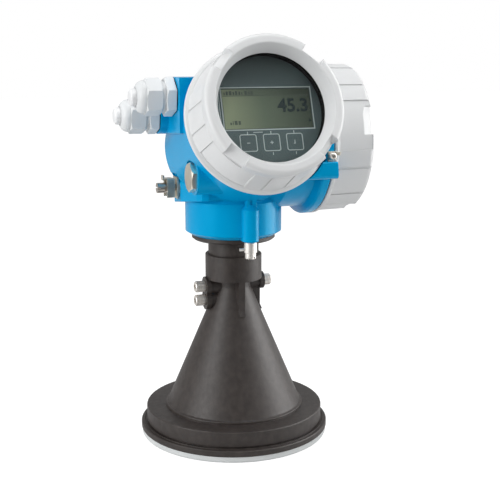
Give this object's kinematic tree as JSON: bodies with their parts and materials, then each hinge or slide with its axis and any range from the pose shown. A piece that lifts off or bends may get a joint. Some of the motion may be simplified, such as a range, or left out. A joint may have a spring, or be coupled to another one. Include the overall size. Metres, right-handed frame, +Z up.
{
  "type": "radar level transmitter",
  "caption": "Radar level transmitter: a blue cast housing with a tilted round display cover, a side terminal cover and cable glands, turning on the neck of a dark moulded horn antenna.",
  "frame": {"origin": "on the horn's axis, at the bottom face of the antenna window on which the part stands", "axes": "+Z up the horn's axis; the display looks towards -Y, tilted 20.9 degrees up; the terminal cover faces +X and the cable glands -X"},
  "size_m": [0.2152, 0.2206, 0.3685],
  "materials": {
    "window_plastic": "smooth white fluoroplastic",
    "horn_plastic": "moulded, dark brown-black, fine grain",
    "rubber": "black elastomer",
    "steel": "turned stainless steel",
    "guide_metal": "machined",
    "housing_paint": "powder coat, smooth, satin",
    "cover_paint": "powder coat, smooth, satin",
    "module_plastic": "moulded",
    "holder_plastic": "moulded, white",
    "panel_plastic": "slate film, satin",
    "lcd": "grey-green liquid crystal",
    "glass": "clear, flat",
    "retainer_black": "black",
    "gland_plastic": "moulded, light grey",
    "plug_plastic": "moulded, white",
    "nickel": "nickel-plated, warm tint"
  },
  "bodies": {
    "antenna": {"antenna_window": "window_plastic", "window_ring": "horn_plastic", "window_seal": "rubber", "horn": "horn_plastic", "horn_screws": "steel", "waveguide": "guide_metal", "neck_adapter": "horn_plastic", "neck_seal": "rubber", "hf_module": "guide_metal"},
    "housing": {"housing": "housing_paint", "electronics_module": "module_plastic", "display_holder": "holder_plastic", "display_module": "panel_plastic", "lcd_panel": "lcd", "display_cover_seal": "rubber", "terminal_cover_seal": "rubber", "terminal_block": "module_plastic", "terminal_screws": "steel", "gland_upper": "gland_plastic", "gland_lower": "gland_plastic", "gland_seal_upper": "rubber", "gland_seal_lower": "rubber", "gland_plug_upper": "plug_plastic", "gland_plug_lower": "plug_plastic", "gland_washers": "rubber", "blanking_plug": "nickel", "ground_clamp": "nickel", "ground_washer": "nickel", "cover_clamp": "nickel"},
    "display_cover": {"display_cover": "cover_paint", "sight_glass": "glass", "glass_retainer": "retainer_black"},
    "terminal_cover": {"terminal_cover": "cover_paint"},
    "gland_nut_upper": {"gland_nut_upper": "gland_plastic"},
    "gland_nut_lower": {"gland_nut_lower": "gland_plastic"},
    "neck_lock_screw": {"neck_lock_screw": "steel"},
    "ground_screw": {"ground_screw": "nickel"},
    "cover_clamp_screw": {"cover_clamp_screw": "steel"}
  },
  "joints": [
    {"name": "housing_swivel", "type": "hinge", "parent": "antenna", "child": "housing", "pos_m": [0, 0, 0.2], "axis": [0, 0, 1], "range_deg": [-175, 175]},
    {"name": "display_cover_screw", "type": "hinge", "parent": "housing", "child": "display_cover", "pos_m": [0, 0, 0.2713], "axis": [0, -0.9342, 0.3567], "range_deg": [0, 1620]},
    {"name": "terminal_cover_screw", "type": "hinge", "parent": "housing", "child": "terminal_cover", "pos_m": [0.08, -0.006, 0.275], "axis": [1, 0, 0], "range_deg": [0, 1620]},
    {"name": "gland_nut_upper_turn", "type": "hinge", "parent": "housing", "child": "gland_nut_upper", "pos_m": [-0.08, -0.027, 0.316], "axis": [-1, 0, 0], "range_deg": [0, 1440]},
    {"name": "gland_nut_lower_turn", "type": "hinge", "parent": "housing", "child": "gland_nut_lower", "pos_m": [-0.087, 0.006, 0.2984], "axis": [-1, 0, 0], "range_deg": [0, 1440]},
    {"name": "lock_screw_turn", "type": "hinge", "parent": "housing", "child": "neck_lock_screw", "pos_m": [0.0011, -0.0454, 0.18], "axis": [0, 0, -1], "range_deg": [0, 720]},
    {"name": "ground_screw_turn", "type": "hinge", "parent": "housing", "child": "ground_screw", "pos_m": [-0.06, 0.006, 0.2334], "axis": [-1, 0, 0], "range_deg": [0, 1080]},
    {"name": "clamp_screw_turn", "type": "hinge", "parent": "housing", "child": "cover_clamp_screw", "pos_m": [0.0616, -0.0821, 0.2664], "axis": [0, -1, 0], "range_deg": [0, 1080]}
  ]
}
